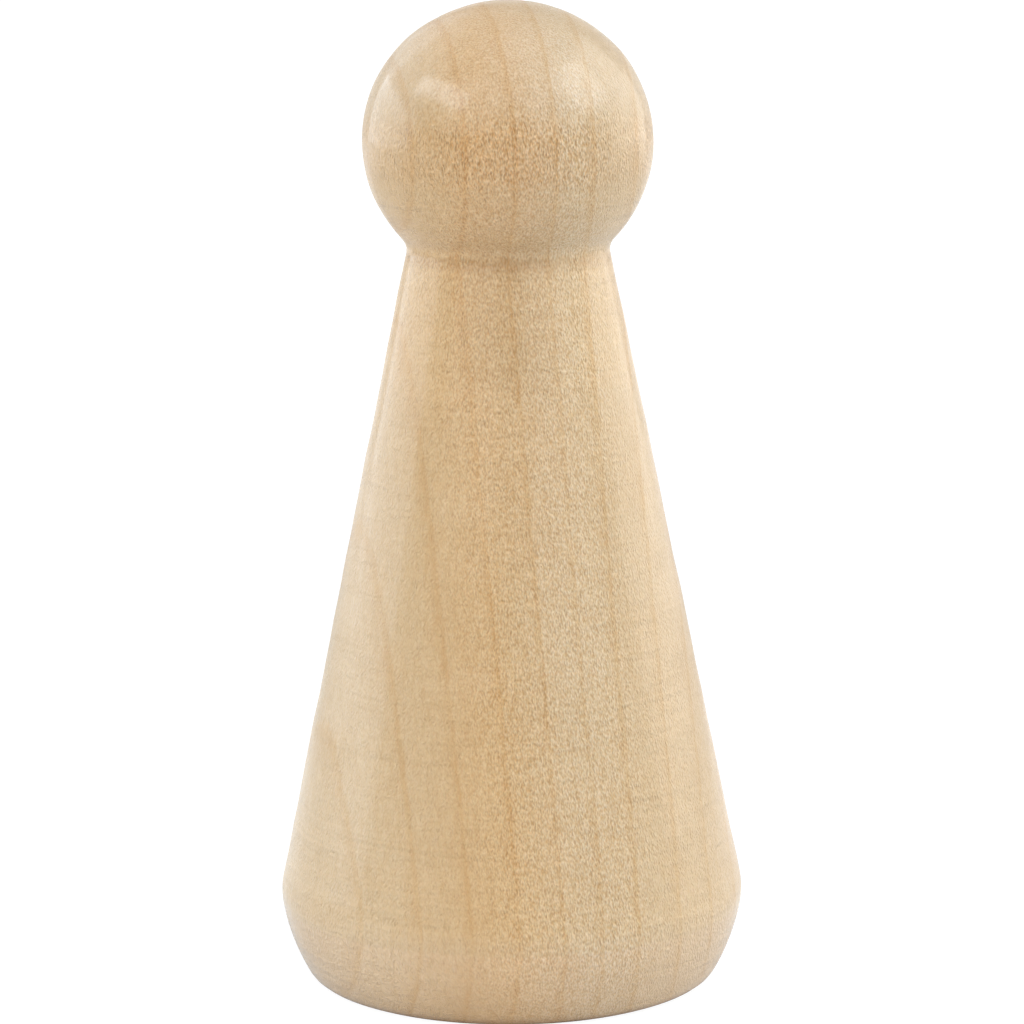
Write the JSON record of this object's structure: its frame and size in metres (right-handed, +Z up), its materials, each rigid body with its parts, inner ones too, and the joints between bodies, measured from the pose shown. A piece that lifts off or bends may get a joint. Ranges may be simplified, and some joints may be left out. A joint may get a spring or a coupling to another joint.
{
  "type": "turned game pawn",
  "caption": "Turned wooden playing piece: a round head, a narrow neck and a conical body with a rounded foot, standing on a flat base.",
  "frame": {"origin": "centre of the flat base", "axes": "+Z up along the turning axis, from the flat base to the top of the head; X and Y are alike"},
  "size_m": [0.0284, 0.0284, 0.06],
  "materials": {
    "wood": "satin clear varnish over pale, close-grained hardwood"
  },
  "bodies": {
    "root": {"turned_pawn": "wood"}
  },
  "joints": []
}
